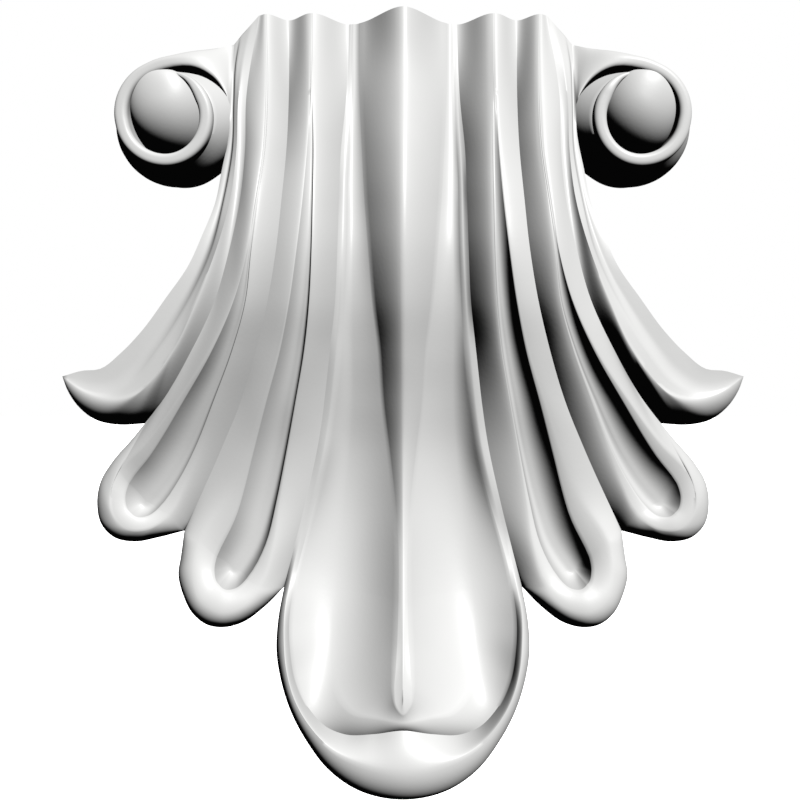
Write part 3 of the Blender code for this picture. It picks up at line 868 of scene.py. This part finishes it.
@dataclass
class Onlay:
    """The whole carved onlay, in one piece of painted wood."""

    extent: Extent
    fine: Fineness = Fineness()
    middle: MiddleLeaf = MiddleLeaf()
    outer: PointedLeaf = PointedLeaf()
    scroll: Scroll = Scroll()
    finish: PaintedWood = PaintedWood()
    crease_angle: float = 55.0

    def grooved_leaves(self) -> tuple[GroovedLeaf, GroovedLeaf]:
        """The two leaves between the middle leaf and the pointed leaf.

        Returns:
            The second leaf, which borders the middle leaf, and the third, which borders the pointed one.
        """
        second = GroovedLeaf(
            inner_valley=self.middle.valley,
            outline=(
                (366, 247, 487), (426, 221, 462), (497, 200, 462), (558, 195, 474), (598, 198, 474),
                (644, 212, 468), (676, 236, 462), (693, 265, 455), (686, 285, 455), (674, 320, 474)
            ),
            outer_valley=(
                (361, 1000, 327), (351, 882, 497), (349, 810, 640), (356, 742, 755), (369, 677, 805),
                (394, 615, 790), (434, 553, 720), (486, 490, 630), (553, 426, 556), (674, 320, 474)
            ),
            inner_crest=(
                (280, 1000, 436), (270, 869, 640), (263, 800, 735), (262, 735, 808), (264, 672, 838),
                (272, 613, 802), (290, 553, 722), (319, 490, 635), (348, 427, 564), (374, 362, 540),
                (396, 298, 568), (430, 254, 600)
            ),
            tip_crest=(
                (430, 254, 600), (486, 228, 640), (550, 222, 656), (608, 236, 638), (632, 270, 600),
                (616, 311, 562)
            ),
            outer_crest=(
                (286, 1000, 436), (279, 869, 640), (284, 800, 735), (294, 735, 814), (311, 672, 850),
                (334, 612, 827), (369, 553, 754), (423, 490, 671), (480, 427, 590), (542, 362, 548),
                (616, 311, 562)
            ),
            groove=(
                (282, 1000, 439), (274, 869, 641), (271, 801, 714), (271, 735, 775), (275, 674, 790),
                (288, 614, 750), (312, 553, 672), (343, 490, 592), (378, 425, 500), (424, 355, 446),
                (472, 303, 434), (528, 270, 432)
            ),
            groove_start=0.12,
            insets=(0.45, 0.6, 0.55),
        )
        third = GroovedLeaf(
            inner_valley=second.outer_valley,
            outline=(
                (674, 320, 474), (756, 311, 462), (826, 306, 468), (888, 312, 474), (928, 330, 474),
                (940, 356, 474), (927, 386, 487), (891, 410, 506), (820, 442, 558), (761, 469, 620)
            ),
            outer_valley=self.outer.valley,
            inner_crest=(
                (424, 1000, 423), (404, 869, 652), (403, 797, 785), (417, 732, 872), (433, 670, 905),
                (451, 612, 872), (496, 553, 788), (558, 490, 690), (618, 427, 604), (664, 381, 576),
                (706, 345, 582)
            ),
            tip_crest=(
                (706, 345, 582), (760, 327, 606), (820, 325, 624), (868, 342, 620), (880, 372, 606),
                (856, 401, 592)
            ),
            outer_crest=(
                (429, 1000, 423), (411, 869, 652), (410, 797, 785), (425, 732, 872), (446, 670, 906),
                (488, 612, 878), (560, 552, 821), (666, 490, 724), (782, 431, 632), (856, 401, 592)
            ),
            groove=(
                (426, 1000, 425), (407, 868, 654), (405, 797, 787), (419, 732, 872), (438, 670, 900),
                (458, 612, 852), (508, 553, 764), (580, 490, 662), (672, 420, 560), (730, 386, 528),
                (788, 359, 508)
            ),
            groove_start=0.42,
            insets=(0.45, 0.5, 0.4),
        )
        return second, third

    def build(self) -> bpy.types.Object:
        """Model the onlay as one piece.

        Returns:
            The closed pieces joined in one object, not yet dressed.
        """
        front = Carving()
        pointed = self.outer.rows(self.extent, self.fine)
        neck_foot = self.extent.metres(((0, self.scroll.neck_foot, 0),))[0, 1]
        root = pointed[-1][pointed[-1][:, 1] > neck_foot]
        for rows in (self.middle.rows(self.extent, self.fine), pointed,
                     *(leaf.rows(self.extent, self.fine) for leaf in self.grooved_leaves()),
                     self.scroll.strap_rows(self.extent, root)):
            front.add(rows)
        whole = front.piece("carved_onlay", mirrored=True)
        fillings = []
        for name, rows in (("scroll_eyes", self.scroll.eye_rows(self.extent)),
                           ("scroll_drums", self.scroll.drum_rows(self.extent))):
            filling = Carving()
            filling.add(rows)
            fillings.append(filling.piece(name, mirrored=False))
        bpy.ops.object.select_all(action="DESELECT")
        for piece in (*fillings, whole):
            piece.select_set(True)
        bpy.context.view_layer.objects.active = whole
        bpy.ops.object.join()
        bpy.ops.object.shade_smooth_by_angle(angle=math.radians(self.crease_angle))
        return whole

    def dress(self, whole: bpy.types.Object) -> None:
        """Paint the piece and hand it to the frame in place of the plain solid.

        Args:
            whole: the modelled onlay.
        """
        whole.data.materials.clear()
        whole.data.materials.append(self.finish.material())
        whole.visible_diffuse = False
        whole.visible_glossy = False
        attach(whole, "root")
        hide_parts("onlay")


@dataclass(frozen=True)
class Studio:
    """Camera before the onlay, a key light, white all round and a floor with a lamp of its own."""

    camera_distance: float = 193.2 * MILLIMETRE
    camera_level: float = -1.85 * MILLIMETRE
    camera_near: float = 10.0 * MILLIMETRE
    view_angle: float = 45.0
    image_side: int = 800
    axis_pixel: float = 403.0
    level_pixel: float = 403.0
    key_towards: tuple[float, float, float] = (0.33, -0.69, 0.645)
    key_strength: float = 4.3
    key_softness: float = 6.0
    ambient: float = 0.002
    floor_level: float = -0.30
    floor_side: float = 40.0
    floor_colour: str = "FAFAFA"
    floor_roughness: float = 0.9
    floor_light_strength: float = 5.0

    def camera(self) -> None:
        """Put the camera where the photograph was taken from."""
        bpy.ops.object.camera_add(location=(0.0, -self.camera_distance, self.camera_level),
                                  rotation=(math.pi / 2, 0.0, 0.0))
        camera = bpy.context.object
        camera.data.sensor_fit = "AUTO"
        camera.data.angle = math.radians(self.view_angle)
        camera.data.clip_start = self.camera_near
        camera.data.shift_x = (self.image_side / 2 - self.axis_pixel) / self.image_side
        camera.data.shift_y = (self.level_pixel - self.image_side / 2) / self.image_side
        bpy.context.scene.camera = camera

    def lights(self) -> None:
        """Add the key light from the upper right, which casts no shadow."""
        bpy.ops.object.light_add(type="SUN")
        key = bpy.context.object
        key.name = "key_light"
        key.data.energy = self.key_strength
        key.data.angle = math.radians(self.key_softness)
        key.data.use_shadow = False
        x, y, z = self.key_towards
        key.rotation_euler = (math.atan2(math.hypot(x, y), z), 0.0, math.atan2(x, -y))

    def surroundings(self) -> None:
        """Show plain white all round, which gives the onlay only a weak even light."""
        world = bpy.data.worlds.new("white_studio")
        bpy.context.scene.world = world
        world.use_nodes = True
        nodes, links = world.node_tree.nodes, world.node_tree.links
        shade = nodes["Background"]
        path = nodes.new("ShaderNodeLightPath")
        strength = nodes.new("ShaderNodeMapRange")
        strength.inputs["To Min"].default_value = self.ambient
        strength.inputs["To Max"].default_value = 1.0
        shade.inputs["Color"].default_value = (1.0, 1.0, 1.0, 1.0)
        links.new(path.outputs["Is Camera Ray"], strength.inputs["Value"])
        links.new(strength.outputs["Result"], shade.inputs["Strength"])
        bpy.context.scene.view_settings.view_transform = "Standard"

    def floor(self) -> None:
        """Add a plain white floor well below the onlay, with a lamp that lights nothing else."""
        bpy.ops.mesh.primitive_plane_add(size=self.floor_side, location=(0.0, 0.0, self.floor_level))
        floor = bpy.context.object
        floor.name = "studio_floor"
        white = bpy.data.materials.new("white_studio_floor")
        white.use_nodes = True
        shader = white.node_tree.nodes["Principled BSDF"]
        shader.inputs["Base Color"].default_value = linear(self.floor_colour)
        shader.inputs["Roughness"].default_value = self.floor_roughness
        floor.data.materials.append(white)
        floor.visible_diffuse = False
        floor.visible_glossy = False
        bpy.ops.object.light_add(type="SUN")
        lamp = bpy.context.object
        lamp.name = "floor_lamp"
        lamp.data.energy = self.floor_light_strength
        lamp.data.use_shadow = False
        lit = bpy.data.collections.new("lit_by_floor_lamp")
        lit.objects.link(floor)
        lamp.light_linking.receiver_collection = lit

    def build(self) -> None:
        """Set up the whole studio."""
        self.camera()
        self.lights()
        self.surroundings()
        self.floor()


def main() -> None:
    """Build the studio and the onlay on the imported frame."""
    logging.basicConfig(level=logging.INFO, format="%(name)s: %(message)s")
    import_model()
    low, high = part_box("onlay")
    extent = Extent(width=high[0] - low[0], height=high[2] - low[2], depth=high[1] - low[1])
    Studio().build()
    log.info("studio ready")
    onlay = Onlay(extent)
    whole = onlay.build()
    onlay.dress(whole)
    log.info("onlay has %d faces", len(whole.data.polygons))


if __name__ == "__main__":
    main()
